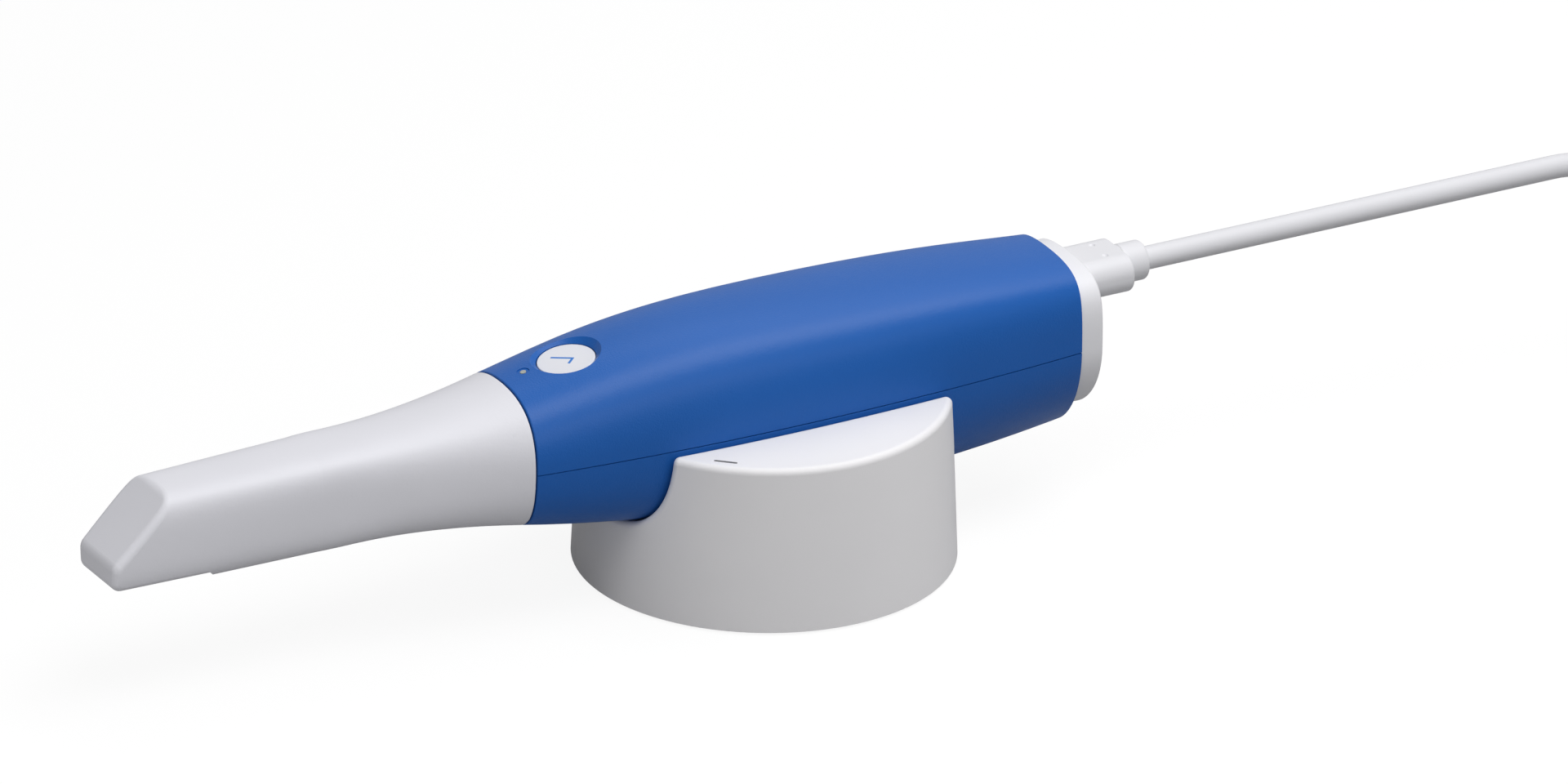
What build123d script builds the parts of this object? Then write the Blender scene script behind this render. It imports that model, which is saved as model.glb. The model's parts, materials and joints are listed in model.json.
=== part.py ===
from build123d import *
import os
from math import cos, pi, radians, sin, tan

os.makedirs("parts", exist_ok=True)

# Intraoral scanner lying in its round desktop cradle. Sizes are in millimetres.
# The origin is the centre of the cradle's foot on the table. +X runs along the scanner
# to its cable, -X to its tip, and +Z is up.

# Cradle
cradle_height = 40.3
cradle_base_radius = 44.0
cradle_rim_radius = 42.3
cradle_rim_rounding = 1.5
cradle_wall = 3.0
cradle_lift = 0.4
trough_gap = 0.4
trough_floor = 2.8
foot_pad_thickness = 0.8
foot_pad_margin = 1.0
base_plate_thickness = 2.0
base_plate_gap = 0.15
ballast_radius = 30.0
cradle_screw_count = 3
cradle_screw_radius = 1.5
cradle_screw_length = 7.0
cradle_screw_head_radius = 2.6
cradle_screw_head_height = 1.2
cradle_boss_radius = 3.2
cradle_boss_circle = 36.0
mark_length = 5.5
mark_width = 0.8
mark_depth = 0.4
mark_circle = 39.0
mark_angle = 227.6

# Handle: half width at the waist, rise above it and drop below it
handle_front_x = -68.4
handle_rear_x = 72.8
parting_above_rim = 0.9
width_crest_x = -4.0
half_width_front = 17.5
half_width_crest = 21.15
half_width_rear = 16.8
rise_crest_x = -10.0
rise_front = 16.5
rise_crest = 23.5
rise_rear = 19.55
drop_crest_x = 22.0
drop_front = 16.4
drop_crest = 25.9
drop_rear = 22.8
shell_wall = 2.0
groove_height = 0.24
groove_depth = 0.4

# How square a section is: top flat, top shoulder, bottom flat, bottom shoulder
front_shape = (0.83, 0.50, 0.53, 1.00)
rear_shape = (0.99, 0.77, 0.46, 0.61)
barrel_shape = (0.95, 0.93, 0.93, 0.95)

# Tip
joint_gap = 0.3
joint_rounding = 0.35
tip_wall = 1.6
flare_length = 42.6
flare_power = 1.9
barrel_length = 54.0
barrel_front_half_width = 9.2
barrel_root_half_width = 11.05
barrel_front_rise = 9.95
barrel_root_rise = 11.0
barrel_front_drop = 12.9
barrel_root_drop = 12.55
barrel_front_waist_drop = 1.35
tip_span = 8.5
face_distance = 98.9
face_edge_rounding = 1.8
lip_distance = 103.5
lip_low_rounding = 2.4
lip_top_rounding = 3.0
lip_wall = 1.8
brow_rounding = 4.0
brow_clearance = 0.05
window_rise = 1.95
window_wall = 1.2
window_step_distance = 78.6
window_length = 19.0
window_width = 13.0
window_corner = 2.0
window_setback = 2.4
mirror_thickness = 1.1
mirror_width = 12.6
mirror_length = 16.0
mirror_raise = 3.0

# Nose under the tip
nose_length = 29.0
nose_gap = 0.35
nose_wall = 1.8
nose_flange = 2.6
flange_gap = 0.15
seal_distance = 8.0
seal_width = 2.0
seal_depth = 0.9
seal_gap = 0.15
lens_thickness = 2.0
lens_rim = 0.8
lens_gap = 0.05

# Button and status light on the sloping top
button_setback = 16.2
button_radius = 6.75
button_sink = 1.6
button_gap = 0.2
button_well_radius = 8.6
button_rounding = 0.3
button_flange_radius = 8.2
button_flange_thickness = 1.0
button_play = 0.25
button_crown = 1.2
button_travel = 0.5
button_stem_radius = 1.6
button_stem_length = 1.5
switch_size = 6.2
switch_height = 3.4
switch_plunger_radius = 1.4
switch_plunger_height = 0.8
switch_board_length = 10.0
switch_board_width = 25.0
switch_board_thickness = 1.2
switch_boss_radius = 2.0
switch_boss_spread = 10.5
light_setback = 5.4
light_radius = 0.7
light_gap = 0.05
light_sink = 0.25
light_well_radius = 1.5
light_well_depth = 0.35
light_flange_radius = 1.4
light_flange_thickness = 1.0
light_length = 6.0

# Optics and electronics inside the handle
chassis_width = 22.0
chassis_thickness = 3.0
chassis_below_axis = 10.0
chassis_rear_setback = 8.0
chassis_screw_radius = 1.25
chassis_screw_length = 5.5
chassis_screw_head_radius = 2.3
chassis_screw_head_height = 1.5
chassis_boss_radius = 3.2
chassis_boss_front_x = -50.0
chassis_boss_rear_x = 46.0
chassis_boss_spread = 7.0
prism_setback = 30.0
prism_size = 16.0
cheek_thickness = 2.0
cheek_height = 19.0
projector_length = 20.0
projector_height = 6.0
projector_lens_radius = 5.0
projector_lens_gap = 0.3
camera_setback = 2.0
camera_lens_radius = 8.0
camera_lens_length = 12.0
camera_lens_gap = 0.05
camera_wall_thickness = 4.0
camera_module_size = 20.0
camera_module_depth = 6.0
board_front_x = 0.0
board_width = 26.0
board_thickness = 1.6
board_post_radius = 2.5
board_post_spread = 8.0
board_post_inset = 5.0
chip_size = 14.0
chip_height = 1.6
chip_x = 26.0
heat_sink_length = 18.0
heat_sink_width = 15.0
heat_sink_base = 3.0
heat_sink_fin = 1.0
heat_sink_fin_count = 5

# Rear cap, plug and strain relief
cap_length = 6.0
cap_inset = 0.5
cap_top_step = 1.7
cap_bottom_step = 3.1
cap_edge_rounding = 0.9
cap_wall = 2.4
cap_spigot_length = 4.0
cap_spigot_wall = 2.0
plug_above_parting = 11.2
plug_width = 16.6
plug_height = 9.2
plug_corner = 4.2
plug_length = 12.7
plug_edge_rounding = 0.9
plug_gap = 0.2
plug_nose_width = 12.0
plug_nose_height = 4.6
plug_nose_length = 11.0
dimple_radius = 1.1
dimple_depth = 0.35
dimple_spread = 3.1
dimple_setback = 5.3
socket_height = 7.0
socket_width = 15.0
socket_length = 16.0
socket_gap = 0.1
socket_corner = 1.0
relief_radius = 4.65
relief_length = 6.0
relief_rounding = 0.9

# Cable, its put-away coil and the connector on its far end
cable_radius = 2.75
cable_bend_x = 226.0
cable_landing_x = 248.0
cable_end_turn = 28.0
coil_x = 268.0
coil_mid_radius = 33.0
coil_layers = 3
coil_corner = 3.0
tie_thickness = 0.8
tie_gap = 0.6
tie_width = 10.0
tie_angle = 200.0
tail_length = 26.0
connector_length = 27.0
connector_width = 12.0
connector_height = 7.1
connector_rounding = 1.5
connector_tongue_length = 7.0
connector_tongue_width = 8.3
connector_tongue_height = 2.5

# Places that follow from the sizes above
parting_z = cradle_height + parting_above_rim
tip_rear_x = handle_front_x - joint_gap
flare_x = handle_front_x - flare_length
barrel_front_x = flare_x - barrel_length
face_x = handle_front_x - face_distance
plug_axis_z = parting_z + plug_above_parting
optical_axis_z = parting_z
cap_rear_x = handle_rear_x + cap_length
slab_reach = 400.0
overrun = 2.0


def arch(x, crest_x, crest, front, rear):
    """Parabola through the crest that falls to its end value at the handle's front or rear."""
    if x < crest_x:
        end_x, end = handle_front_x, front
    else:
        end_x, end = handle_rear_x, rear
    return crest - (crest - end) * ((x - crest_x) / (end_x - crest_x)) ** 2


def mix(start, end, share):
    """Blend of two section shapes."""
    return [a + (b - a) * share for a, b in zip(start, end)]


def section(x, half_width, waist_z, top_z, bottom_z, shape):
    """Face across X whose outline is four Bezier quarters that join smoothly."""
    top_flat, top_shoulder, bottom_flat, bottom_shoulder = shape
    upper_z = waist_z + top_shoulder * (top_z - waist_z)
    lower_z = waist_z - bottom_shoulder * (waist_z - bottom_z)
    top = (0, top_z)
    bottom = (0, bottom_z)
    with BuildSketch(Plane.YZ.offset(x)) as outline:
        with BuildLine():
            for edge in (half_width, -half_width):
                Bezier(top, (top_flat * edge, top_z), (edge, upper_z), (edge, waist_z))
                Bezier((edge, waist_z), (edge, lower_z), (bottom_flat * edge, bottom_z), bottom)
        make_face()
    return outline.sketch


def handle_top(x):
    return parting_z + arch(x, rise_crest_x, rise_crest, rise_front, rise_rear)


def handle_section(x, inset):
    """Handle outline at x, drawn in by the inset."""
    share = (x - handle_front_x) / (handle_rear_x - handle_front_x)
    return section(
        x,
        arch(x, width_crest_x, half_width_crest, half_width_front, half_width_rear) - inset,
        parting_z,
        handle_top(x) - inset,
        parting_z - arch(x, drop_crest_x, drop_crest, drop_front, drop_rear) + inset,
        mix(front_shape, rear_shape, share),
    )


def handle_form(inset, reach=0.0):
    """Solid handle form, drawn in by the inset and run past both ends by the reach."""
    spans = 6
    start_x = handle_front_x - reach
    step = (handle_rear_x - handle_front_x + 2 * reach) / spans
    with BuildPart() as form:
        loft([handle_section(start_x + i * step, inset) for i in range(spans + 1)])
    return form.part


def flare(x, front, root, joint):
    """Size of the tip at x: a straight taper, then a flare that meets the handle at the joint."""
    slope = (root - front) / barrel_length
    straight = front + slope * (x - barrel_front_x)
    straight_at_joint = front + slope * (handle_front_x - barrel_front_x)
    share = max(0.0, (x - flare_x) / flare_length)
    return straight + (joint - straight_at_joint) * share**flare_power


def tip_section(x, inset):
    """Tip outline at x, drawn in by the inset."""
    share = max(0.0, (x - flare_x) / flare_length)
    waist_share = (handle_front_x - x) / (handle_front_x - barrel_front_x)
    return section(
        x,
        flare(x, barrel_front_half_width, barrel_root_half_width, half_width_front) - inset,
        parting_z - barrel_front_waist_drop * waist_share,
        parting_z + flare(x, barrel_front_rise, barrel_root_rise, rise_front) - inset,
        parting_z - flare(x, barrel_front_drop, barrel_root_drop, drop_front) + inset,
        mix(barrel_shape, front_shape, share),
    )


def tip_form(inset, front_x, rear_x):
    """Solid tip form between two places along X, drawn in by the inset: ruled where it is straight."""
    bend_x = max(front_x, flare_x - tip_span)
    spans = max(1, round((rear_x - bend_x) / tip_span))
    step = (rear_x - bend_x) / spans
    with BuildPart() as form:
        loft([tip_section(bend_x + i * step, inset) for i in range(spans + 1)])
        if front_x < bend_x:
            loft([tip_section(front_x, inset), tip_section(bend_x, inset)], ruled=True)
    return form.part


def slab(axis, low, high):
    """Wide flat block between two places along one axis."""
    size = [slab_reach, slab_reach, slab_reach]
    middle = [0, 0, 0]
    size[axis] = high - low
    middle[axis] = (low + high) / 2
    with BuildPart() as block:
        with Locations(tuple(middle)):
            Box(*size)
    return block.part


def finish_piece(piece, name):
    """Label a finished piece and write it to its own file."""
    piece.part.label = name
    export_step(piece.part, f"parts/{name}.step")


# Forms that several pieces share
with BuildPart() as handle_block:
    add(handle_form(0.0))
    fillet(handle_block.edges().group_by(Axis.X)[0], joint_rounding)
handle_outer = handle_block.part
handle_cavity = handle_form(shell_wall, overrun)
handle_mid = handle_form(shell_wall / 2)
below_parting = slab(2, parting_z - slab_reach, parting_z)
above_parting = slab(2, parting_z, parting_z + slab_reach)

# The button and the light stand square to the slope of the handle's top
button_x = handle_front_x + button_setback
light_x = handle_front_x + light_setback


def top_plane(x):
    """Plane on the crest of the handle's top at x, square to its slope."""
    nearby = 0.01
    slope = (handle_top(x + nearby) - handle_top(x - nearby)) / (2 * nearby)
    return Plane(origin=(x, 0, handle_top(x)), x_dir=(1, 0, slope), z_dir=(-slope, 0, 1))


button_plane = top_plane(button_x)
light_plane = top_plane(light_x)
button_flange_top = shell_wall + button_crown + button_play
switch_board_top = (
    button_flange_top + button_flange_thickness + button_stem_length
    + switch_plunger_height + switch_height
)

# Upper shell, with a dished well for the button and bosses for its switch
with BuildPart() as switch_bosses:
    with BuildSketch(button_plane.offset(-switch_board_top)):
        with Locations((0, switch_boss_spread), (0, -switch_boss_spread)):
            Circle(switch_boss_radius)
    extrude(amount=switch_board_top)
    add(handle_mid, mode=Mode.INTERSECT)

with BuildPart() as upper_shell:
    add(handle_outer)
    add(above_parting, mode=Mode.INTERSECT)
    add(handle_cavity, mode=Mode.SUBTRACT)
    add(switch_bosses.part)
    with BuildSketch(button_plane.offset(-button_flange_top - button_flange_thickness)):
        Circle(button_radius + button_gap)
    extrude(amount=2 * switch_board_top, mode=Mode.SUBTRACT)
    with BuildSketch(button_plane.offset(-button_sink)):
        Circle(button_radius + button_gap)
    with BuildSketch(button_plane):
        Circle(button_well_radius)
    loft(mode=Mode.SUBTRACT)
    with BuildSketch(light_plane.offset(-light_length)):
        Circle(light_radius + light_gap)
    extrude(amount=2 * light_length, mode=Mode.SUBTRACT)
    with BuildSketch(light_plane.offset(-light_well_depth)):
        Circle(light_well_radius)
    extrude(amount=light_length, mode=Mode.SUBTRACT)
finish_piece(upper_shell, "upper_shell")

# Scan button: a cap with a flange that keeps it in, and a stem that meets the switch
with BuildPart() as scan_button:
    with BuildSketch(button_plane.offset(-button_flange_top)):
        Circle(button_radius)
    extrude(amount=button_flange_top - button_sink)
    fillet(scan_button.edges().group_by(Axis((0, 0, 0), button_plane.z_dir))[-1], button_rounding)
    with BuildSketch(button_plane.offset(-button_flange_top)):
        Circle(button_flange_radius)
    extrude(amount=-button_flange_thickness)
    with BuildSketch(button_plane.offset(-button_flange_top - button_flange_thickness)):
        Circle(button_stem_radius)
    extrude(amount=-button_stem_length + button_travel / 2)
finish_piece(scan_button, "scan_button")

# Tactile switch on its own small board, carried by the two bosses of the upper shell
with BuildPart() as button_switch:
    with BuildSketch(button_plane.offset(-switch_board_top)):
        Rectangle(switch_board_length, switch_board_width)
    extrude(amount=-switch_board_thickness)
    with BuildSketch(button_plane.offset(-switch_board_top)):
        Rectangle(switch_size, switch_size)
    extrude(amount=switch_height)
    with BuildSketch(button_plane.offset(-switch_board_top + switch_height)):
        Circle(switch_plunger_radius)
    extrude(amount=switch_plunger_height - button_travel)
finish_piece(button_switch, "button_switch")

# Status light: a small clear pipe with a flange inside the shell
with BuildPart() as status_light:
    with BuildSketch(light_plane.offset(-light_sink)):
        Circle(light_radius)
    extrude(amount=light_sink - light_length)
    with BuildSketch(light_plane.offset(-shell_wall - button_play)):
        Circle(light_flange_radius)
    extrude(amount=-light_flange_thickness)
finish_piece(status_light, "status_light")

# Optics chassis: base plate, prism pedestal, projector cheeks, camera wall and board posts
chassis_front_x = handle_front_x + nose_flange
chassis_rear_x = handle_rear_x - chassis_rear_setback
chassis_top_z = optical_axis_z - chassis_below_axis
chassis_bottom_z = chassis_top_z - chassis_thickness
prism_x = handle_front_x + prism_setback + prism_size / 2
projector_bottom_z = chassis_top_z + cheek_height
camera_lens_x = prism_x + prism_size / 2 + camera_setback
camera_wall_x = camera_lens_x + camera_lens_length / 2
camera_module_x = camera_lens_x + camera_lens_length
board_top_z = plug_axis_z - socket_height / 2
board_bottom_z = board_top_z - board_thickness
socket_rear_x = cap_rear_x - cap_wall - plug_gap
board_rear_x = socket_rear_x - socket_length / 2
chassis_boss_places = [
    (x, y)
    for x in (chassis_boss_front_x, chassis_boss_rear_x)
    for y in (chassis_boss_spread, -chassis_boss_spread)
]
board_post_places = [
    (x, y)
    for x in (board_front_x + board_post_inset, board_rear_x - board_post_inset)
    for y in (board_post_spread, -board_post_spread)
]
with BuildPart() as optics_chassis:
    with BuildSketch(Plane.XY.offset(chassis_bottom_z)):
        with Locations(((chassis_front_x + chassis_rear_x) / 2, 0)):
            RectangleRounded(chassis_rear_x - chassis_front_x, chassis_width, chassis_thickness)
    extrude(amount=chassis_thickness)
    with BuildSketch(Plane.XY.offset(chassis_top_z)):
        with Locations((prism_x, 0)):
            Rectangle(prism_size, prism_size)
    extrude(amount=chassis_below_axis - prism_size / 2)
    with BuildSketch(Plane.XY.offset(chassis_top_z)):
        cheek_y = chassis_width / 2 - cheek_thickness / 2
        with Locations((prism_x, cheek_y), (prism_x, -cheek_y)):
            Rectangle(projector_length, cheek_thickness)
    extrude(amount=cheek_height)
    with BuildSketch(Plane.YZ.offset(camera_wall_x - camera_wall_thickness / 2)):
        with Locations((0, optical_axis_z)):
            Rectangle(chassis_width, 2 * chassis_below_axis)
            Circle(camera_lens_radius + camera_lens_gap, mode=Mode.SUBTRACT)
    extrude(amount=camera_wall_thickness)
    with BuildSketch(Plane.XY.offset(chassis_top_z)):
        with Locations(*board_post_places):
            Circle(board_post_radius)
    extrude(amount=board_bottom_z - chassis_top_z)
    with Locations(*[(x, y, chassis_top_z) for x, y in chassis_boss_places]):
        CounterBoreHole(
            chassis_screw_radius + socket_gap,
            chassis_screw_head_radius + socket_gap,
            chassis_screw_head_height,
            2 * chassis_thickness,
        )
finish_piece(optics_chassis, "optics_chassis")

with BuildPart() as chassis_screws:
    for x, y in chassis_boss_places:
        with BuildSketch(Plane.XY.offset(chassis_top_z - chassis_screw_head_height)):
            with Locations((x, y)):
                Circle(chassis_screw_head_radius)
        extrude(amount=chassis_screw_head_height)
        with BuildSketch(Plane.XY.offset(chassis_top_z - chassis_screw_head_height)):
            with Locations((x, y)):
                Circle(chassis_screw_radius)
        extrude(amount=-chassis_screw_length)
finish_piece(chassis_screws, "chassis_screws")

with BuildPart() as beam_prism:
    with Locations((prism_x, 0, optical_axis_z)):
        Box(prism_size, prism_size, prism_size)
    chamfer(beam_prism.edges(), lens_rim / 2)
finish_piece(beam_prism, "beam_prism")

with BuildPart() as projector_module:
    with Locations((prism_x, 0, projector_bottom_z + projector_height / 2)):
        Box(projector_length, chassis_width, projector_height)
    fillet(projector_module.edges().filter_by(Axis.X).group_by(Axis.Z)[-1], projector_height / 2)
finish_piece(projector_module, "projector_module")

with BuildPart() as projector_lens:
    with BuildSketch(Plane.XY.offset(projector_bottom_z)):
        with Locations((prism_x, 0)):
            Circle(projector_lens_radius)
    extrude(amount=optical_axis_z + prism_size / 2 + projector_lens_gap - projector_bottom_z)
finish_piece(projector_lens, "projector_lens")

with BuildPart() as camera_lens:
    with BuildSketch(Plane.YZ.offset(camera_lens_x)):
        with Locations((0, optical_axis_z)):
            Circle(camera_lens_radius)
    extrude(amount=camera_lens_length)
    chamfer(camera_lens.edges().group_by(Axis.X)[0], lens_rim)
finish_piece(camera_lens, "camera_lens")

with BuildPart() as camera_module:
    with Locations((camera_module_x + camera_module_depth / 2, 0, optical_axis_z)):
        Box(camera_module_depth, camera_module_size, camera_module_size)
    chamfer(camera_module.edges().filter_by(Axis.X), lens_rim)
finish_piece(camera_module, "camera_module")

with BuildPart() as main_board:
    with BuildSketch(Plane.XY.offset(board_bottom_z)):
        with Locations(((board_front_x + board_rear_x) / 2, 0)):
            RectangleRounded(board_rear_x - board_front_x, board_width, board_thickness)
    extrude(amount=board_thickness)
finish_piece(main_board, "main_board")

with BuildPart() as processor_chip:
    with Locations((chip_x, 0, board_bottom_z - chip_height / 2)):
        Box(chip_size, chip_size, chip_height)
finish_piece(processor_chip, "processor_chip")

# Heat sink: fins between the chassis and the chip's plate
heat_sink_top_z = board_bottom_z - chip_height
with BuildPart() as heat_sink:
    with Locations((chip_x, 0, heat_sink_top_z - heat_sink_base / 2)):
        Box(heat_sink_length, heat_sink_width, heat_sink_base)
    with BuildSketch(Plane.XY.offset(chassis_top_z)):
        fin_pitch = (heat_sink_width - heat_sink_fin) / (heat_sink_fin_count - 1)
        with Locations((chip_x, 0)):
            with GridLocations(0, fin_pitch, 1, heat_sink_fin_count):
                Rectangle(heat_sink_length, heat_sink_fin)
    extrude(amount=heat_sink_top_z - heat_sink_base - chassis_top_z)
finish_piece(heat_sink, "heat_sink")

with BuildPart() as connector_socket:
    with BuildSketch(Plane.YZ.offset(socket_rear_x)):
        with Locations((0, plug_axis_z)):
            RectangleRounded(socket_width, socket_height, socket_corner)
    extrude(amount=-socket_length)
    with BuildSketch(Plane.YZ.offset(socket_rear_x)):
        with Locations((0, plug_axis_z)):
            RectangleRounded(
                plug_nose_width + 2 * socket_gap,
                plug_nose_height + 2 * socket_gap,
                socket_corner,
            )
    extrude(amount=-plug_nose_length - socket_corner, mode=Mode.SUBTRACT)
finish_piece(connector_socket, "connector_socket")

# Lower shell: a shadow groove along its rim and bosses for the chassis
with BuildPart() as groove:
    add(slab(2, parting_z - groove_height, parting_z + overrun))
    add(handle_form(groove_depth, overrun), mode=Mode.SUBTRACT)

with BuildPart() as chassis_bosses:
    with BuildSketch(Plane.XY.offset(chassis_bottom_z)):
        with Locations(*chassis_boss_places):
            Circle(chassis_boss_radius)
    extrude(amount=-drop_crest)
    add(handle_mid, mode=Mode.INTERSECT)

with BuildPart() as lower_shell:
    add(handle_outer)
    add(below_parting, mode=Mode.INTERSECT)
    add(groove.part, mode=Mode.SUBTRACT)
    add(handle_cavity, mode=Mode.SUBTRACT)
    add(chassis_bosses.part)
    with BuildSketch(Plane.XY.offset(chassis_bottom_z)):
        with Locations(*chassis_boss_places):
            Circle(chassis_screw_radius + light_gap)
    boss_hole_depth = chassis_screw_length + chassis_screw_head_height - chassis_thickness
    extrude(amount=-boss_hole_depth, mode=Mode.SUBTRACT)
finish_piece(lower_shell, "lower_shell")

# Nose: a flange between the shells and a hollow snout that the tip slides over
nose_front_x = handle_front_x - nose_length
nose_inset = tip_wall + nose_gap
seal_x = handle_front_x - seal_distance
with BuildPart() as seal_groove:
    add(slab(0, seal_x - seal_width / 2, seal_x + seal_width / 2))
    add(tip_form(nose_inset + seal_depth, nose_front_x, handle_front_x), mode=Mode.SUBTRACT)

with BuildPart() as nose_barrel:
    add(handle_form(shell_wall + flange_gap))
    add(slab(0, handle_front_x, handle_front_x + nose_flange), mode=Mode.INTERSECT)
    add(tip_form(nose_inset, nose_front_x, handle_front_x))
    add(
        tip_form(nose_inset + nose_wall, nose_front_x - overrun, handle_front_x + nose_flange + overrun),
        mode=Mode.SUBTRACT,
    )
    add(
        tip_form(nose_inset + lens_rim, nose_front_x - overrun, nose_front_x + lens_thickness),
        mode=Mode.SUBTRACT,
    )
    add(seal_groove.part, mode=Mode.SUBTRACT)
finish_piece(nose_barrel, "nose_barrel")

with BuildPart() as front_lens:
    add(tip_form(nose_inset + lens_rim + lens_gap, nose_front_x, nose_front_x + lens_thickness))
finish_piece(front_lens, "front_lens")

with BuildPart() as nose_seal:
    add(tip_form(tip_wall + seal_gap, seal_x - seal_width / 2, seal_x + seal_width / 2))
    add(tip_form(nose_inset + seal_depth, nose_front_x, handle_front_x), mode=Mode.SUBTRACT)
finish_piece(nose_seal, "nose_seal")

# Tip: a slanted front face over a blunt lip, and a flat underside with the scan window
face_plane = Plane(origin=(face_x, 0, parting_z), x_dir=(0, -1, 0), z_dir=(-1, 0, 1))
inner_face = face_plane.offset(-tip_wall)
lip_front_x = handle_front_x - lip_distance
lip_top_z = parting_z + lip_front_x - face_x
brow_top_z = parting_z + barrel_front_rise + brow_clearance
brow_x = face_x + brow_top_z - parting_z
window_face_z = parting_z - barrel_front_drop + window_rise
window_floor_z = window_face_z + window_wall
window_step_x = handle_front_x - window_step_distance
window_middle_x = lip_front_x + lip_wall + window_setback + window_length / 2
profile_low_z = parting_z - drop_crest
with BuildPart() as tip_profile:
    with BuildSketch(Plane.XZ):
        with BuildLine():
            FilletPolyline(
                (tip_rear_x, profile_low_z),
                (window_step_x + window_face_z - profile_low_z, profile_low_z),
                (window_step_x, window_face_z),
                (lip_front_x, window_face_z),
                (lip_front_x, lip_top_z),
                (brow_x, brow_top_z),
                (tip_rear_x, parting_z + rise_crest),
                radius=[0, 0, 0, lip_low_rounding, lip_top_rounding, brow_rounding, 0],
                close=True,
            )
        make_face()
    extrude(amount=2 * half_width_front, both=True)

with BuildPart() as tip_cavity:
    add(tip_form(tip_wall, lip_front_x + lip_wall, tip_rear_x + overrun))
    split(bisect_by=inner_face, keep=Keep.BOTTOM)
    with Locations((window_step_x + window_rise + window_wall, 0, window_floor_z)):
        Box(
            slab_reach,
            slab_reach,
            slab_reach,
            align=(Align.MAX, Align.CENTER, Align.MAX),
            mode=Mode.SUBTRACT,
        )

with BuildPart() as tip_shell:
    add(tip_form(0.0, lip_front_x - overrun, tip_rear_x))
    add(tip_profile.part, mode=Mode.INTERSECT)
    front_faces = tip_shell.faces().filter_by(face_plane)
    front_faces += tip_shell.faces().filter_by(GeomType.CYLINDER)
    fillet(ShapeList(front_faces).edges().filter_by(GeomType.LINE, reverse=True), face_edge_rounding)
    fillet(tip_shell.edges().group_by(Axis.X)[-1], joint_rounding)
    add(tip_cavity.part, mode=Mode.SUBTRACT)
    with BuildSketch(Plane.XY.offset(window_face_z)):
        with Locations((window_middle_x, 0)):
            RectangleRounded(window_length, window_width, window_corner)
    extrude(amount=window_wall, mode=Mode.SUBTRACT)
finish_piece(tip_shell, "tip_shell")

# Mirror on the inside of the slanted face
with BuildPart() as tip_mirror:
    with BuildSketch(inner_face):
        with Locations((0, mirror_raise)):
            RectangleRounded(mirror_width, mirror_length, window_corner)
    extrude(amount=-mirror_thickness)
finish_piece(tip_mirror, "tip_mirror")


def rear_outline(inset, x, top_step=0.0, bottom_step=0.0):
    """The handle's rear outline carried to x: drawn in all round, lowered on top and raised below."""
    return section(
        x,
        half_width_rear - inset,
        parting_z,
        parting_z + rise_rear - top_step - inset,
        parting_z - drop_rear + bottom_step + inset,
        rear_shape,
    )


def cap_edge_outline(turn):
    """Outline of the cap part of the way round its rear edge, by the turn in degrees."""
    in_by = cap_edge_rounding * (1 - cos(radians(turn)))
    back_by = cap_edge_rounding * (1 - sin(radians(turn)))
    return rear_outline(cap_inset + in_by, cap_rear_x - back_by, cap_top_step, cap_bottom_step)


# Rear cap: a shell with a spigot between the handle's shells and a hole for the plug
spigot_front_x = handle_rear_x - cap_spigot_length
spigot_inset = shell_wall + flange_gap
cap_hollow_inset = spigot_inset + cap_spigot_wall
with BuildPart() as rear_cap:
    loft([rear_outline(cap_inset, handle_rear_x, cap_top_step, cap_bottom_step), cap_edge_outline(0)])
    loft([cap_edge_outline(turn) for turn in (0, 30, 60, 90)])
    loft([rear_outline(spigot_inset, spigot_front_x), rear_outline(spigot_inset, handle_rear_x)])
    hollow_ends = (spigot_front_x, cap_rear_x - cap_wall)
    loft(
        [rear_outline(cap_hollow_inset, x, 0.0, cap_bottom_step) for x in hollow_ends],
        mode=Mode.SUBTRACT,
    )
    with BuildSketch(Plane.YZ.offset(cap_rear_x)):
        with Locations((0, plug_axis_z)):
            RectangleRounded(
                plug_width + 2 * plug_gap,
                plug_height + 2 * plug_gap,
                plug_corner + plug_gap,
            )
    extrude(amount=-2 * cap_wall, mode=Mode.SUBTRACT)
finish_piece(rear_cap, "rear_cap")

# Plug block with two finger dimples on top, and its nose in the socket
plug_front_x = cap_rear_x - cap_wall
plug_rear_x = cap_rear_x + plug_length
with BuildPart() as cable_plug:
    with BuildSketch(Plane.YZ.offset(plug_front_x)):
        with Locations((0, plug_axis_z)):
            RectangleRounded(plug_width, plug_height, plug_corner)
    extrude(amount=plug_rear_x - plug_front_x)
    fillet(cable_plug.faces().sort_by(Axis.X)[-1].edges(), plug_edge_rounding)
    with BuildSketch(Plane.YZ.offset(plug_front_x)):
        with Locations((0, plug_axis_z)):
            RectangleRounded(plug_nose_width, plug_nose_height, socket_corner)
    extrude(amount=-plug_nose_length)
    dimple_z = plug_axis_z + plug_height / 2 + dimple_radius - dimple_depth
    dimple_x = plug_rear_x - dimple_setback
    with Locations((dimple_x, dimple_spread, dimple_z), (dimple_x, -dimple_spread, dimple_z)):
        Sphere(dimple_radius, mode=Mode.SUBTRACT)
finish_piece(cable_plug, "cable_plug")

relief_rear_x = plug_rear_x + relief_length
with BuildPart() as strain_relief:
    with BuildSketch(Plane.YZ.offset(plug_rear_x)):
        with Locations((0, plug_axis_z)):
            Circle(relief_radius)
    extrude(amount=relief_length)
    fillet(strain_relief.faces().sort_by(Axis.X)[-1].edges(), relief_rounding)
finish_piece(strain_relief, "strain_relief")

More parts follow.
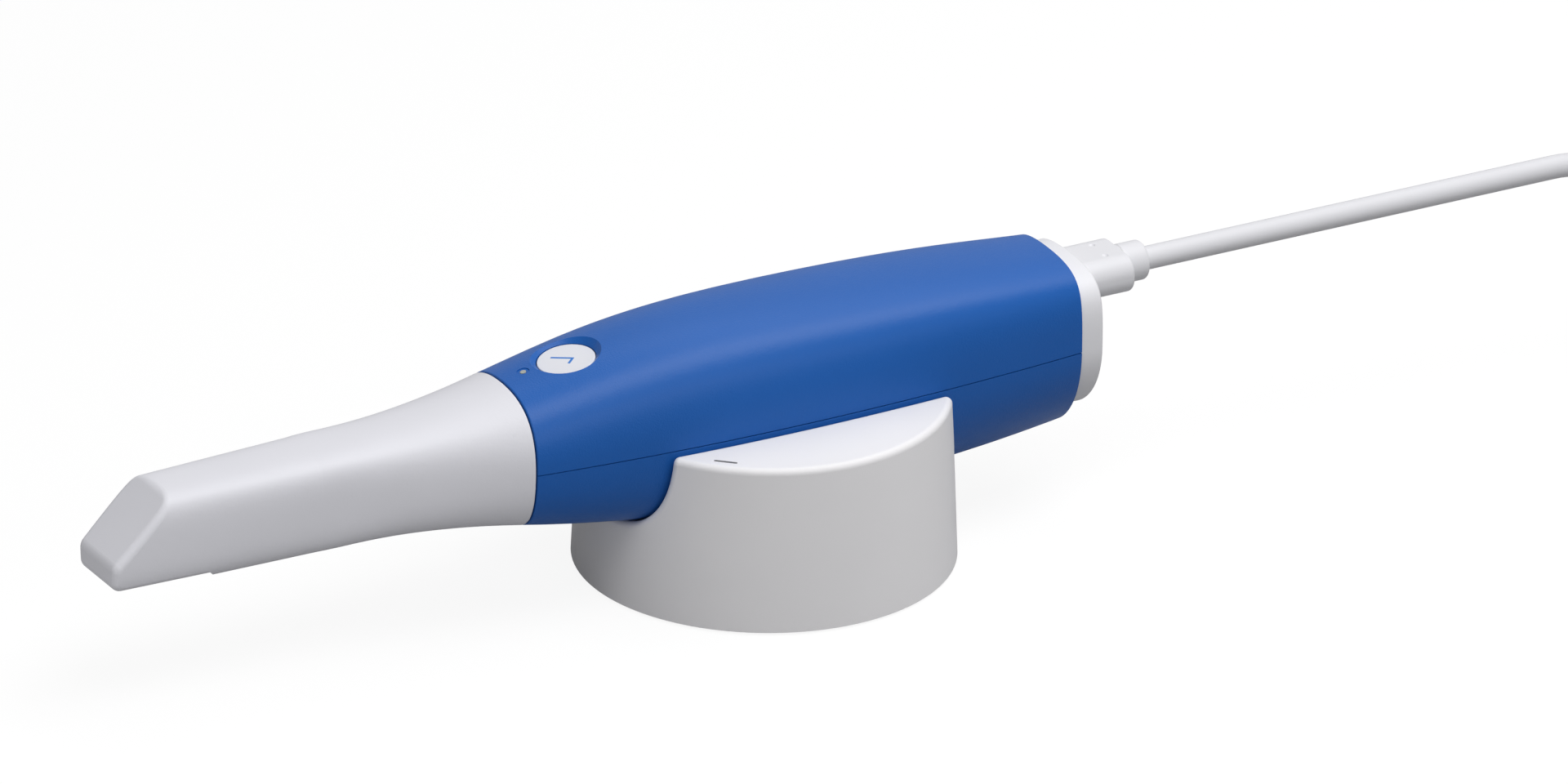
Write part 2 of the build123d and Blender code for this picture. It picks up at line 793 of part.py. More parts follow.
# Cradle: drafted round body with a trough that follows the handle, hollow underneath
hollow_top_z = parting_z - drop_crest - trough_gap - trough_floor
base_plate_z = foot_pad_thickness
ballast_z = base_plate_z + base_plate_thickness
hollow_radius = cradle_rim_radius - cradle_wall
with BuildPart() as cradle_body:
    with BuildSketch(Plane.XZ):
        with BuildLine():
            Polyline(
                (0, cradle_lift),
                (cradle_base_radius, cradle_lift),
                (cradle_rim_radius, cradle_height),
                (0, cradle_height),
                close=True,
            )
        make_face()
    revolve(axis=Axis.Z)
    add(handle_form(-trough_gap, overrun), mode=Mode.SUBTRACT)
    rim_edges = cradle_body.edges().filter_by_position(Axis.Z, cradle_lift + overrun, cradle_height)
    fillet(rim_edges.filter_by(GeomType.LINE, reverse=True), cradle_rim_rounding)
    with BuildSketch(Plane.XY):
        Circle(hollow_radius)
        with PolarLocations(cradle_boss_circle, cradle_screw_count):
            Circle(cradle_boss_radius, mode=Mode.SUBTRACT)
    extrude(amount=hollow_top_z, mode=Mode.SUBTRACT)
    with BuildSketch(Plane.XY):
        Circle(hollow_radius)
    extrude(amount=ballast_z, mode=Mode.SUBTRACT)
    with BuildSketch(Plane.XY):
        with PolarLocations(cradle_boss_circle, cradle_screw_count):
            Circle(cradle_screw_radius + light_gap)
    extrude(amount=hollow_top_z, mode=Mode.SUBTRACT)
    with BuildSketch(Plane.XY.offset(cradle_height - mark_depth)):
        with PolarLocations(mark_circle, 1, start_angle=mark_angle):
            SlotOverall(mark_length, mark_width, rotation=90)
    extrude(amount=2 * mark_depth, mode=Mode.SUBTRACT)
finish_piece(cradle_body, "cradle_body")

with BuildPart() as cradle_ballast:
    with BuildSketch(Plane.XY.offset(ballast_z)):
        Circle(ballast_radius)
    extrude(amount=hollow_top_z - ballast_z)
finish_piece(cradle_ballast, "cradle_ballast")

with BuildPart() as cradle_base_plate:
    with BuildSketch(Plane.XY.offset(base_plate_z)):
        Circle(hollow_radius - base_plate_gap)
    extrude(amount=base_plate_thickness)
    with BuildSketch(Plane.XY.offset(base_plate_z)):
        with PolarLocations(cradle_boss_circle, cradle_screw_count):
            Circle(cradle_screw_radius + socket_gap)
    extrude(amount=base_plate_thickness, mode=Mode.SUBTRACT)
    with BuildSketch(Plane.XY.offset(base_plate_z)):
        with PolarLocations(cradle_boss_circle, cradle_screw_count):
            Circle(cradle_screw_head_radius + socket_gap)
    extrude(amount=cradle_screw_head_height, mode=Mode.SUBTRACT)
finish_piece(cradle_base_plate, "cradle_base_plate")

with BuildPart() as cradle_screws:
    with BuildSketch(Plane.XY.offset(base_plate_z)):
        with PolarLocations(cradle_boss_circle, cradle_screw_count):
            Circle(cradle_screw_head_radius)
    extrude(amount=cradle_screw_head_height)
    with BuildSketch(Plane.XY.offset(base_plate_z + cradle_screw_head_height)):
        with PolarLocations(cradle_boss_circle, cradle_screw_count):
            Circle(cradle_screw_radius)
    extrude(amount=cradle_screw_length)
finish_piece(cradle_screws, "cradle_screws")

with BuildPart() as cradle_foot_pad:
    with BuildSketch(Plane.XY):
        Circle(hollow_radius - foot_pad_margin)
    extrude(amount=foot_pad_thickness)
finish_piece(cradle_foot_pad, "cradle_foot_pad")

# Cable: straight out of the relief, then down onto the coil of its put-away length
cable_width = 2 * cable_radius
coil_bottom_z = tie_thickness
coil_height = coil_layers * cable_width
coil_top_z = coil_bottom_z + coil_height
top_turn_z = coil_top_z - cable_radius
outer_turn_radius = coil_mid_radius + coil_height / 2 - cable_radius
coil_y = -outer_turn_radius
cable_route = [
    (relief_rear_x, 0, plug_axis_z),
    (cable_bend_x, 0, plug_axis_z),
    (cable_landing_x, 0, top_turn_z),
    (
        coil_x + outer_turn_radius * sin(radians(cable_end_turn)),
        coil_y + outer_turn_radius * cos(radians(cable_end_turn)),
        top_turn_z,
    ),
]


def bend_radii(points):
    """Largest tangent arc that each corner of a route leaves room for."""
    room = 0.45
    radii = []
    for before, corner, after in zip(points, points[1:], points[2:]):
        arrive = Vector(*corner) - Vector(*before)
        leave = Vector(*after) - Vector(*corner)
        half_turn = radians(arrive.get_angle(leave)) / 2
        radii.append(room * min(arrive.length, leave.length) / tan(half_turn))
    return radii


cable_bends = bend_radii(cable_route)
print("cable bend radii", [round(r, 1) for r in cable_bends])
with BuildPart() as cable:
    with BuildLine() as cable_line:
        FilletPolyline(*cable_route, radius=cable_bends)
    with BuildSketch(Plane.YZ.offset(relief_rear_x)):
        with Locations((0, plug_axis_z)):
            Circle(cable_radius)
    sweep(path=cable_line.wire())
cable_length = cable_line.wire().length
section_area = pi * cable_radius**2
print("cable run", round(cable_length, 1), "volume / section", round(cable.part.volume / section_area, 1))
finish_piece(cable, "cable")

with BuildPart() as cable_coil:
    with BuildSketch(Plane(origin=(coil_x, coil_y, coil_bottom_z), x_dir=(1, 0, 0), z_dir=(0, -1, 0))):
        with Locations((coil_mid_radius, coil_height / 2)):
            RectangleRounded(coil_height, coil_height, coil_corner)
    revolve(axis=Axis((coil_x, coil_y, 0), (0, 0, 1)))
finish_piece(cable_coil, "cable_coil")

# Tie: a strap once round the coil's bundle
tie_plane = Plane((coil_x, coil_y, coil_bottom_z)).rotated((0, 0, tie_angle))
with BuildPart() as coil_tie:
    with BuildSketch(Plane(tie_plane.origin, x_dir=tie_plane.x_dir, z_dir=-tie_plane.y_dir)):
        with Locations((coil_mid_radius, coil_height / 2)):
            strap = coil_height + 2 * tie_gap
            around = 2 * tie_thickness
            RectangleRounded(strap + around, coil_height + around, coil_corner + tie_thickness)
            RectangleRounded(strap, coil_height, coil_corner, mode=Mode.SUBTRACT)
    extrude(amount=tie_width / 2, both=True)
finish_piece(coil_tie, "coil_tie")

# Far end: a short tail off the coil's side, and its connector lying on the table
tail_x = coil_x + outer_turn_radius
tail_z = connector_height / 2
connector_y = coil_y - tail_length
with BuildPart() as cable_tail:
    with BuildSketch(Plane.XZ.offset(-coil_y)):
        with Locations((tail_x, tail_z)):
            Circle(cable_radius)
    extrude(amount=tail_length)
finish_piece(cable_tail, "cable_tail")

with BuildPart() as far_connector:
    with BuildSketch(Plane.XZ.offset(-connector_y)):
        with Locations((tail_x, tail_z)):
            RectangleRounded(connector_width, connector_height, connector_height / 3)
    extrude(amount=connector_length)
    fillet(far_connector.faces().sort_by(Axis.Y)[-1].edges(), connector_rounding)
    with BuildSketch(Plane.XZ.offset(connector_length - connector_y)):
        with Locations((tail_x, tail_z)):
            RectangleRounded(connector_tongue_width, connector_tongue_height, connector_tongue_height / 2.1)
    extrude(amount=connector_tongue_length)
finish_piece(far_connector, "far_connector")
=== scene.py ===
"""Looks of an intraoral scanner that lies in its round desktop cradle. Lengths are in metres."""

import json
import math

import bmesh
import bpy
from mathutils import Matrix, Vector


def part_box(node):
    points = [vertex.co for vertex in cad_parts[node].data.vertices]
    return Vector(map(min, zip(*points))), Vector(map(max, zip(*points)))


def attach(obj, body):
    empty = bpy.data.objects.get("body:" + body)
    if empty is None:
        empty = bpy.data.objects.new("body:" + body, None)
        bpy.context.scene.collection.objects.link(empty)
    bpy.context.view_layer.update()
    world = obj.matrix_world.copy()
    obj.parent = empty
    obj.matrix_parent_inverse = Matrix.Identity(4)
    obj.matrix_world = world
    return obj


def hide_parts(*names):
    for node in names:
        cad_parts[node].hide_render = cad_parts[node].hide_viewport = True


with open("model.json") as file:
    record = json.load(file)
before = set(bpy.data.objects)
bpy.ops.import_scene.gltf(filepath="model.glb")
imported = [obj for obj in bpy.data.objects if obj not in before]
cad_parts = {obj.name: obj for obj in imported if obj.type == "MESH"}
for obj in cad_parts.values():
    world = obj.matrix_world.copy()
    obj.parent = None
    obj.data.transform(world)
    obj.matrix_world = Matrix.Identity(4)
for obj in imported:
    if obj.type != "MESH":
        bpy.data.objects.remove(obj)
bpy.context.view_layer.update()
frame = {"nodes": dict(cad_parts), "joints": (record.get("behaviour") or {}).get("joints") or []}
nodes = frame["nodes"]
scene = bpy.context.scene
scene.view_settings.view_transform = "Standard"

# Camera: the photograph is a nearly parallel view from the tip's side, so the lens is very long
VIEW_TURN = math.radians(29.2)
VIEW_RISE = math.radians(25.2)
VIEW_ROLL = 0.0134
VIEW_WIDTH = 0.3566
VIEW_DISTANCE = 7.9
VIEW_CENTRE_RIGHT = 0.00407
VIEW_CENTRE_UP = 0.03624
SENSOR_WIDTH = 36.0
CLIP_NEAR = 0.1
CLIP_FAR = 100.0

turn_cos, turn_sin = math.cos(VIEW_TURN), math.sin(VIEW_TURN)
rise_cos, rise_sin = math.cos(VIEW_RISE), math.sin(VIEW_RISE)
view_right = Vector((turn_cos, -turn_sin, 0))
view_up = Vector((turn_sin * rise_sin, turn_cos * rise_sin, rise_cos))
view_back = view_right.cross(view_up)
view_target = VIEW_CENTRE_RIGHT * view_right + VIEW_CENTRE_UP * view_up
camera_right = (view_right + VIEW_ROLL * view_up).normalized()
camera_up = view_back.cross(camera_right)

camera_data = bpy.data.cameras.new("camera")
camera_data.sensor_width = SENSOR_WIDTH
camera_data.lens = SENSOR_WIDTH * VIEW_DISTANCE / VIEW_WIDTH
camera_data.clip_start = CLIP_NEAR
camera_data.clip_end = CLIP_FAR
camera = bpy.data.objects.new("camera", camera_data)
camera_axes = Matrix((camera_right, camera_up, view_back)).transposed().to_4x4()
camera.matrix_world = Matrix.Translation(view_target + VIEW_DISTANCE * view_back) @ camera_axes
scene.collection.objects.link(camera)
scene.camera = camera

# Materials
DRIFT_SIZE = 0.03
DRIFT_DETAIL = 2.0
GRAIN_DETAIL = 3.0
RIB_PITCH = 0.0011
RIB_HEIGHT = 0.00025
RIB_TURN = math.radians(110)
RIB_DISTORTION = 0.6
# Phase that Blender's wave texture runs through in one metre at scale 1
WAVE_PHASE = 20


def linear(red, green, blue):
    """Colour as a linear RGBA value, from the numbers 0 to 255 that it shows on a screen."""

    def channel(value):
        share = value / 255
        return share / 12.92 if share <= 0.04045 else ((share + 0.055) / 1.055) ** 2.4

    return (channel(red), channel(green), channel(blue), 1.0)


def scaled(colour, factor):
    """Colour with its three channels times a factor."""
    return tuple(channel * factor for channel in colour[:3]) + (1.0,)


def noise(tree, place, size, detail):
    """Noise texture whose grains are about the given size."""
    texture = tree.nodes.new("ShaderNodeTexNoise")
    texture.inputs["Scale"].default_value = 1 / size
    texture.inputs["Detail"].default_value = detail
    tree.links.new(place.outputs["Object"], texture.inputs["Vector"])
    return texture


def surface(
    name,
    colour,
    roughness,
    specular=0.5,
    metallic=0.0,
    grain=0.0004,
    relief=0.000015,
    tone=0.03,
    wear=0.05,
    **shader_values,
):
    """Material with a slow drift in its tone and a fine grain in its gloss and relief."""
    material = bpy.data.materials.new(name)
    material.use_nodes = True
    tree = material.node_tree
    shader = tree.nodes["Principled BSDF"]
    shader.inputs["Specular IOR Level"].default_value = specular
    shader.inputs["Metallic"].default_value = metallic
    for socket, value in shader_values.items():
        shader.inputs[socket].default_value = value
    place = tree.nodes.new("ShaderNodeTexCoord")

    drift = noise(tree, place, DRIFT_SIZE, DRIFT_DETAIL)
    tint = tree.nodes.new("ShaderNodeMix")
    tint.data_type = "RGBA"
    tint.inputs["A"].default_value = scaled(colour, 1 - tone)
    tint.inputs["B"].default_value = scaled(colour, 1 + tone)
    tree.links.new(drift.outputs["Fac"], tint.inputs["Factor"])
    tree.links.new(tint.outputs["Result"], shader.inputs["Base Color"])

    fine = noise(tree, place, grain, GRAIN_DETAIL)
    gloss = tree.nodes.new("ShaderNodeMapRange")
    gloss.inputs["To Min"].default_value = roughness - wear
    gloss.inputs["To Max"].default_value = roughness + wear
    tree.links.new(fine.outputs["Fac"], gloss.inputs["Value"])
    tree.links.new(gloss.outputs["Result"], shader.inputs["Roughness"])

    bump = tree.nodes.new("ShaderNodeBump")
    bump.inputs["Distance"].default_value = relief
    tree.links.new(fine.outputs["Fac"], bump.inputs["Height"])
    tree.links.new(bump.outputs["Normal"], shader.inputs["Normal"])
    return material


def add_ribs(material, pitch, height, turn):
    """Woven ribs in the relief: bands that follow each other along the X axis turned about Z."""
    tree = material.node_tree
    place = tree.nodes["Texture Coordinate"]
    turned = tree.nodes.new("ShaderNodeMapping")
    turned.inputs["Rotation"].default_value = (0.0, 0.0, -turn)
    tree.links.new(place.outputs["Object"], turned.inputs["Vector"])
    bands = tree.nodes.new("ShaderNodeTexWave")
    bands.inputs["Scale"].default_value = 2 * math.pi / (WAVE_PHASE * pitch)
    bands.inputs["Distortion"].default_value = RIB_DISTORTION
    tree.links.new(turned.outputs["Vector"], bands.inputs["Vector"])
    ribs = tree.nodes.new("ShaderNodeBump")
    ribs.inputs["Distance"].default_value = height
    shader = tree.nodes["Principled BSDF"]
    tree.links.new(tree.nodes["Bump"].outputs["Normal"], ribs.inputs["Normal"])
    tree.links.new(bands.outputs["Fac"], ribs.inputs["Height"])
    tree.links.new(ribs.outputs["Normal"], shader.inputs["Normal"])


blue_plastic = surface("blue_plastic", linear(20, 85, 162), 0.40, specular=0.24, relief=0.00005)
white_plastic = surface("white_plastic", linear(210, 210, 214), 0.50, specular=0.35)
cap_plastic = surface("cap_plastic", linear(217, 217, 221), 0.50, specular=0.35)
tip_plastic = surface("tip_plastic", linear(212, 212, 218), 0.55, specular=0.30)
cradle_plastic = surface("cradle_plastic", linear(224, 223, 225), 0.55, specular=0.35)
button_plastic = surface("button_plastic", linear(214, 215, 221), 0.40)
cable_plastic = surface("cable_plastic", linear(208, 208, 212), 0.55, specular=0.30)
# Painted shade for the recess of the cradle's slot
slot_shade = surface("slot_shade", linear(150, 150, 154), 0.70, specular=0.20)
mark_paint = surface("mark_paint", linear(30, 110, 190), 0.45)
dark_plastic = surface("dark_plastic", linear(52, 54, 60), 0.50)
black_rubber = surface("black_rubber", linear(30, 30, 32), 0.70, relief=0.00002)
strap_weave = surface("strap_weave", linear(60, 62, 68), 0.85, grain=0.0003, relief=0.00005)
add_ribs(strap_weave, RIB_PITCH, RIB_HEIGHT, RIB_TURN)
light_lens = surface("light_lens", linear(176, 170, 158), 0.25, **{"Subsurface Weight": 0.3})
green_board = surface("green_board", linear(24, 84, 60), 0.45)
black_chip = surface("black_chip", linear(38, 38, 42), 0.50)
steel = surface("steel", linear(178, 180, 184), 0.30, metallic=1.0)
aluminium = surface("aluminium", linear(190, 192, 196), 0.40, metallic=1.0)
mirror_silver = surface(
    "mirror_silver", linear(236, 238, 240), 0.06, metallic=1.0, wear=0.01, relief=0.0
)
clear_glass = surface(
    "clear_glass",
    linear(232, 238, 242),
    0.06,
    wear=0.01,
    relief=0.0,
    **{"Transmission Weight": 0.9, "IOR": 1.5},
)

finishes = {
    blue_plastic: ["upper_shell", "lower_shell"],
    white_plastic: ["cable_plug", "strain_relief", "far_connector"],
    cap_plastic: ["rear_cap"],
    tip_plastic: ["tip_shell"],
    cradle_plastic: ["cradle_body", "cradle_base_plate"],
    button_plastic: ["scan_button"],
    cable_plastic: ["cable", "cable_coil", "cable_tail"],
    dark_plastic: ["nose_barrel", "projector_module", "camera_module", "camera_lens"],
    black_rubber: ["nose_seal", "cradle_foot_pad"],
    strap_weave: ["coil_tie"],
    light_lens: ["status_light"],
    green_board: ["main_board"],
    black_chip: ["processor_chip", "button_switch", "connector_socket"],
    steel: ["chassis_screws", "cradle_screws", "cradle_ballast"],
    aluminium: ["heat_sink", "optics_chassis"],
    mirror_silver: ["tip_mirror"],
    clear_glass: ["front_lens", "beam_prism", "projector_lens"],
}
for finish, names in finishes.items():
    for name in names:
        nodes[name].data.materials.clear()
        nodes[name].data.materials.append(finish)


def refinish(node, finish, chosen):
    """Second finish for a node's polygons, where their centres are the chosen ones."""
    node.data.materials.append(finish)
    for polygon in node.data.polygons:
        if chosen(polygon.center):
            polygon.material_index = len(node.data.materials) - 1


# Cradle's mark: a fine slot in the rim, with painted shade that makes it darker than the plastic
# round it
SLOT_CIRCLE = 0.039
SLOT_TURN = math.radians(227.6)
SLOT_HALF_LENGTH = 0.0029
SLOT_HALF_WIDTH = 0.00045
SLOT_MARGIN = 0.00002
rim_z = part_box("cradle_body")[1][2]
slot_out = Vector((math.cos(SLOT_TURN), math.sin(SLOT_TURN)))
slot_along = slot_out.orthogonal()


def in_slot(spot):
    """Whether a spot on the cradle lies in the slot, below the rim's face."""
    offset = spot.xy - SLOT_CIRCLE * slot_out
    in_width = abs(offset.dot(slot_out)) < SLOT_HALF_WIDTH
    in_length = abs(offset.dot(slot_along)) < SLOT_HALF_LENGTH
    return in_width and in_length and spot.z < rim_z - SLOT_MARGIN


refinish(nodes["cradle_body"], slot_shade, in_slot)

# Smooth shading across the CAD facets, with edges kept sharp
SHARP_ANGLE = math.radians(28)
for node in nodes.values():
    node.data.polygons.foreach_set("use_smooth", [True] * len(node.data.polygons))
    node.data.set_sharp_from_angle(angle=SHARP_ANGLE)


def finished(build, name, finish):
    """Object in the scene from what was built, with its faces turned outwards."""
    bmesh.ops.recalc_face_normals(build, faces=build.faces)
    mesh = bpy.data.meshes.new(name)
    build.to_mesh(mesh)
    build.free()
    mesh.materials.append(finish)
    piece = bpy.data.objects.new(name, mesh)
    scene.collection.objects.link(piece)
    return piece


def plate(name, outline, origin, axes, low, high, finish):
    """Thin plate between two heights over a face.

    Its outline goes along one side and back along the other, with as many points on both.
    """
    along, across, up = axes
    build = bmesh.new()
    rings = [
        [build.verts.new(origin + spot.x * along + spot.y * across + lift * up) for spot in outline]
        for lift in (low, high)
    ]
    count = len(outline)
    for i in range(count // 2 - 1):
        corners = (i, i + 1, count - 2 - i, count - 1 - i)
        for ring in rings:
            build.faces.new([ring[corner] for corner in corners])
    for i in range(count):
        j = (i + 1) % count
        build.faces.new((rings[0][i], rings[0][j], rings[1][j], rings[1][i]))
    return finished(build, name, finish)


# Root of the cable's collar, which runs on into the plug's rounded rear edge.
# Its profile is the way along the cable from the collar's front, and the radius there.
ROOT_PROFILE = [(-0.0014, 0.00420), (-0.0012, 0.00448), (-0.0009, 0.00460), (0.0001, 0.00463)]
ROOT_STEPS = 96
relief_low, relief_high = (Vector(corner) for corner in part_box("strain_relief"))
relief_middle = (relief_low + relief_high) / 2
root_angles = [2 * math.pi * step / ROOT_STEPS for step in range(ROOT_STEPS)]
root_build = bmesh.new()
root_rings = []
for reach, radius in ROOT_PROFILE:
    ring_spots = [
        (
            relief_low.x + reach,
            relief_middle.y + radius * math.cos(angle),
            relief_middle.z + radius * math.sin(angle),
        )
        for angle in root_angles
    ]
    root_rings.append([root_build.verts.new(spot) for spot in ring_spots])
for ring, next_ring in zip(root_rings, root_rings[1:]):
    for i in range(ROOT_STEPS):
        j = (i + 1) % ROOT_STEPS
        root_build.faces.new((ring[i], ring[j], next_ring[j], next_ring[i])).smooth = True
root_build.faces.new(root_rings[0])
root_build.faces.new(root_rings[-1])
relief_root = finished(root_build, "relief_root", white_plastic)
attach(relief_root, "scanner")

# Far connector: a metal shell on the plastic grip, and on its end a dark plate, painted shade that
# stands for the opening of its mouth
SHELL_LENGTH = 0.007
SHELL_MARGIN = 0.00002
MOUTH_WIDTH = 0.0068
MOUTH_HEIGHT = 0.0012
MOUTH_DEPTH = 0.00003
MOUTH_STEPS = 6
far_connector = nodes["far_connector"]
connector_low, connector_high = (Vector(corner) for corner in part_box("far_connector"))
connector_middle = (connector_low + connector_high) / 2
shell_end = connector_low.y + SHELL_LENGTH - SHELL_MARGIN
refinish(far_connector, steel, lambda spot: spot.y < shell_end)
mouth_radius = MOUTH_HEIGHT / 2
mouth_reach = MOUTH_WIDTH / 2 - mouth_radius
mouth_right = []
for step in range(MOUTH_STEPS):
    bend = (step + 0.5) * math.pi / 2 / MOUTH_STEPS
    mouth_right.append(
        Vector((mouth_reach + mouth_radius * math.cos(bend), mouth_radius * math.sin(bend)))
    )
mouth_upper = [Vector((-spot.x, spot.y)) for spot in mouth_right] + mouth_right[::-1]
mouth_outline = mouth_upper + [Vector((spot.x, -spot.y)) for spot in mouth_upper[::-1]]
# Painted shade: a thin dark plate where the mouth's opening would lie in shade
connector_mouth = plate(
    "connector_mouth",
    mouth_outline,
    Vector((connector_middle.x, connector_low.y, connector_middle.z)),
    (Vector((1, 0, 0)), Vector((0, 0, 1)), Vector((0, -1, 0))),
    -MOUTH_DEPTH,
    MOUTH_DEPTH,
    black_chip,
)
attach(connector_mouth, "scanner")

# Cable: out of the relief, down to the table and round its put-away coil
CABLE_DIAMETER = 0.0055
CABLE_SIDE_STEPS = 6
CABLE_SPAN_STEPS = 8
CABLE_EXIT_HEIGHT = 0.0524
COIL_CENTRE = Vector((0.268, -0.0385))
COIL_RADII = (0.0385, 0.0330, 0.0275)
COIL_HEIGHTS = (0.01455, 0.00905, 0.00355)
# One turn for each place in the bundle, as (ring, layer), each beside the one before
COIL_TURNS = [(0, 0), (1, 0), (2, 0), (2, 1), (2, 2), (1, 2), (1, 1), (0, 1), (0, 2)]
COIL_STEPS = 16
COIL_FIRST_STEP = 3.5
COIL_TIE_STEP = 8.9
COIL_SHIFT_STEPS = 3.0
CABLE_ROUTE = [
    (0.0975, 0.0, CABLE_EXIT_HEIGHT),
    (0.1970, 0.0, CABLE_EXIT_HEIGHT),
    (0.2147, 0.0, CABLE_EXIT_HEIGHT),
    (0.2323, 0.0, 0.0423),
    (0.2424, 0.0, 0.0247),
    (0.2600, 0.0, COIL_HEIGHTS[0]),
]
CABLE_TAIL = [(0.3065, -0.0462, COIL_HEIGHTS[-1]), (0.3065, -0.0645, COIL_HEIGHTS[-1])]


def coil_points():
    """Corners of a path that goes round clockwise and changes its place in the coil at the tie."""
    turns = len(COIL_TURNS) - 1
    corner_reach = 1 / math.cos(math.pi / COIL_STEPS)
    points = []
    for step in range(turns * COIL_STEPS + round(COIL_FIRST_STEP + 0.5)):
        past_tie = (step - COIL_FIRST_STEP + COIL_TIE_STEP) / COIL_STEPS
        passed = math.floor(past_tie + 0.5)
        shift = (past_tie - passed) * COIL_STEPS / COIL_SHIFT_STEPS
        share = min(1.0, max(0.0, shift + 0.5))
        places = [COIL_TURNS[min(turns, max(0, turn))] for turn in (passed - 1, passed)]
        radii = [COIL_RADII[ring] for ring, _ in places]
        heights = [COIL_HEIGHTS[layer] for _, layer in places]
        radius = corner_reach * (radii[0] + (radii[1] - radii[0]) * share)
        height = heights[0] + (heights[1] - heights[0]) * share
        angle = 2 * math.pi * (COIL_FIRST_STEP - step) / COIL_STEPS
        spot = COIL_CENTRE + radius * Vector((math.cos(angle), math.sin(angle)))
        points.append((spot.x, spot.y, height))
    return points


cable_points = CABLE_ROUTE + coil_points() + CABLE_TAIL
cable_data = bpy.data.curves.new("cable_line", "CURVE")
cable_data.dimensions = "3D"
cable_data.bevel_depth = CABLE_DIAMETER / 2
cable_data.bevel_resolution = CABLE_SIDE_STEPS
cable_data.use_fill_caps = True
cable_spline = cable_data.splines.new("NURBS")
cable_spline.points.add(len(cable_points) - 1)
for point, place in zip(cable_spline.points, cable_points):
    point.co = (*place, 1.0)
cable_spline.order_u = 3
cable_spline.use_endpoint_u = True
cable_spline.resolution_u = CABLE_SPAN_STEPS
cable_piece = bpy.data.objects.new("cable_run", cable_data)
cable_data.materials.append(cable_plastic)
scene.collection.objects.link(cable_piece)
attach(cable_piece, "scanner")
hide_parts("cable", "cable_coil", "cable_tail")

# Floor, background and light
WHITE = (1.0, 1.0, 1.0, 1.0)
FLOOR_SIZE = 8.0
FLOOR_DROP = 0.0002
FLOOR_BOUNCE = 0.28
FLOOR_PALE = 0.50
FLOOR_SEEN = 0.10
FLOOR_GLOW = 0.90
WORLD_LIGHT = 0.15
WORLD_PALE = 0.72
HANDLE_MIDDLE = (0.0, 0.0, 0.04)
TIP_FRONT = (-0.17, 0.0, 0.04)


def any_ray(tree, rays):
    """Factor that is one for rays of the given kinds."""
    path = tree.nodes.new("ShaderNodeLightPath")
    factor = path.outputs[rays[0]]
    for ray in rays[1:]:
        either = tree.nodes.new("ShaderNodeMath")
        either.operation = "MAXIMUM"
        tree.links.new(factor, either.inputs[0])
        tree.links.new(path.outputs[ray], either.inputs[1])
        factor = either.outputs[0]
    return factor


def ray_mix(tree, rays, others, chosen):
    """Mix that shows the chosen shader to rays of the given kinds and the other to the rest."""
    mix = tree.nodes.new("ShaderNodeMixShader")
    tree.links.new(any_ray(tree, rays), mix.inputs[0])
    tree.links.new(others.outputs[0], mix.inputs[1])
    tree.links.new(chosen.outputs[0], mix.inputs[2])
    return mix


def diffuse(tree, grey):
    """Matt shader in a shade of grey."""
    shader = tree.nodes.new("ShaderNodeBsdfDiffuse")
    shader.inputs["Color"].default_value = (grey, grey, grey, 1.0)
    return shader


def white_light(tree, kind, strength):
    """White emission or background shader."""
    shader = tree.nodes.new(kind)
    shader.inputs["Color"].default_value = WHITE
    shader.inputs["Strength"].default_value = strength
    return shader


def softbox(name, place, target, size, power):
    """Area lamp that faces the target."""
    data = bpy.data.lights.new(name, "AREA")
    data.shape = "RECTANGLE"
    data.size, data.size_y = size
    data.energy = power
    lamp = bpy.data.objects.new(name, data)
    lamp.location = place
    lamp.rotation_euler = (Vector(target) - Vector(place)).to_track_quat("-Z", "Y").to_euler()
    lamp.visible_camera = False
    scene.collection.objects.link(lamp)


floor_half = FLOOR_SIZE / 2
floor_corners = [(-1, -1), (1, -1), (1, 1), (-1, 1)]
floor_mesh = bpy.data.meshes.new("floor")
floor_mesh.from_pydata(
    [(x * floor_half, y * floor_half, -FLOOR_DROP) for x, y in floor_corners], [], [(0, 1, 2, 3)]
)
floor = bpy.data.objects.new("floor", floor_mesh)
floor_material = bpy.data.materials.new("floor_white")
floor_material.use_nodes = True
floor_tree = floor_material.node_tree
floor_tree.nodes.clear()
floor_glow = white_light(floor_tree, "ShaderNodeEmission", FLOOR_GLOW)
floor_seen = floor_tree.nodes.new("ShaderNodeAddShader")
floor_tree.links.new(diffuse(floor_tree, FLOOR_SEEN).outputs[0], floor_seen.inputs[0])
floor_tree.links.new(floor_glow.outputs[0], floor_seen.inputs[1])
floor_mirrored = ray_mix(
    floor_tree,
    ["Is Glossy Ray", "Is Transmission Ray"],
    diffuse(floor_tree, FLOOR_BOUNCE),
    diffuse(floor_tree, FLOOR_PALE),
)
floor_mix = ray_mix(floor_tree, ["Is Camera Ray"], floor_mirrored, floor_seen)
floor_out = floor_tree.nodes.new("ShaderNodeOutputMaterial")
floor_tree.links.new(floor_mix.outputs[0], floor_out.inputs["Surface"])
floor_mesh.materials.append(floor_material)
scene.collection.objects.link(floor)

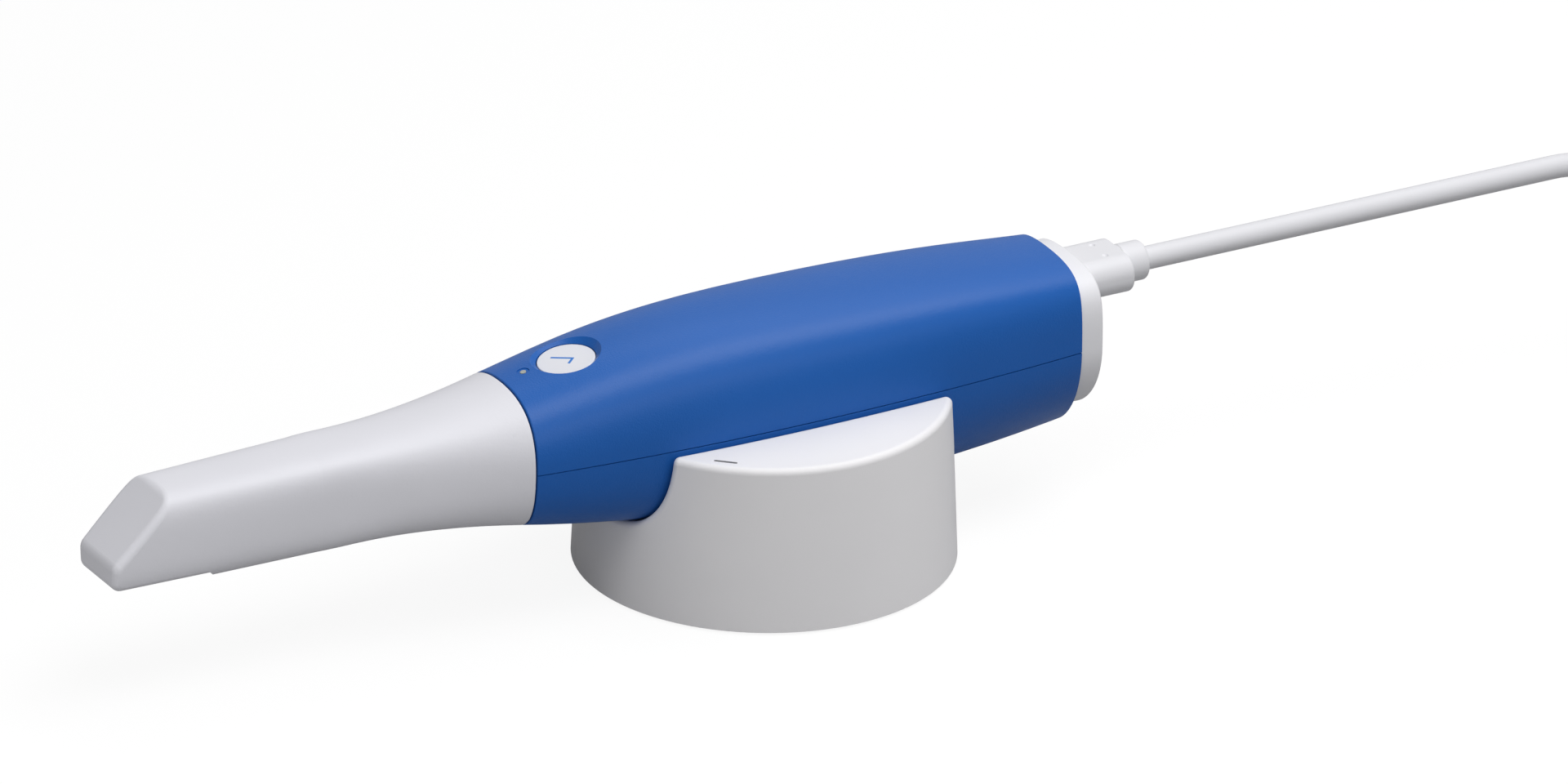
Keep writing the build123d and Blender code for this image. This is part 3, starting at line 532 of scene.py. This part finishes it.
world = bpy.data.worlds.new("studio")
world.use_nodes = True
world_tree = world.node_tree
world_tree.nodes.clear()
world_mix = ray_mix(
    world_tree,
    ["Is Camera Ray", "Is Glossy Ray", "Is Transmission Ray"],
    white_light(world_tree, "ShaderNodeBackground", WORLD_LIGHT),
    white_light(world_tree, "ShaderNodeBackground", WORLD_PALE),
)
world_out = world_tree.nodes.new("ShaderNodeOutputWorld")
world_tree.links.new(world_mix.outputs[0], world_out.inputs["Surface"])
scene.world = world

softbox("key", (0.12, -0.34, 0.95), HANDLE_MIDDLE, (1.2, 0.5), 9.2)
softbox("back", (0.40, 0.25, 0.85), HANDLE_MIDDLE, (0.9, 0.5), 2.6)
softbox("front", (0.12, -1.00, 0.45), HANDLE_MIDDLE, (0.8, 0.4), 2.5)
softbox("tip_fill", (-0.40, -0.05, 0.07), TIP_FRONT, (0.12, 0.12), 0.16)

# Tick on the button's face
TICK_STROKE = 0.0006
TICK_HEIGHT = 0.00004
TICK_SINK = 0.00002
TICK_POINTS = [(-0.00240, 0.00300), (0.00133, -0.00069), (-0.00051, -0.00218)]
FACE_MARGIN = 0.00001
press_joint = next(joint for joint in frame["joints"] if joint["name"] == "button_press")
button_up = -Vector(press_joint["axis"]).normalized()
button_across = Vector((0, 1, 0))
button_along = button_across.cross(button_up)
button_spots = [vertex.co.copy() for vertex in nodes["scan_button"].data.vertices]
button_top = max(spot.dot(button_up) for spot in button_spots)
face_spots = [spot for spot in button_spots if button_top - spot.dot(button_up) < FACE_MARGIN]
face_centre = sum(face_spots, Vector()) / len(face_spots)


def stroke_outline(points, width):
    """Outline of an open stroke with square ends and a mitred corner."""
    left, right = [], []
    for index, point in enumerate(points):
        before = points[index - 1] if index else None
        after = points[index + 1] if index + 1 < len(points) else None
        ways = [(b - a).normalized() for a, b in ((before, point), (point, after)) if a and b]
        sides = [Vector((-way.y, way.x)) for way in ways]
        mitre = sum(sides, Vector((0, 0))).normalized()
        reach = width / 2 / mitre.dot(sides[0])
        left.append(point + reach * mitre)
        right.append(point - reach * mitre)
    return left + right[::-1]


tick = plate(
    "button_tick",
    stroke_outline([Vector(point) for point in TICK_POINTS], TICK_STROKE),
    face_centre,
    (button_along, button_across, button_up),
    -TICK_SINK,
    TICK_HEIGHT - TICK_SINK,
    mark_paint,
)
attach(tick, "button")
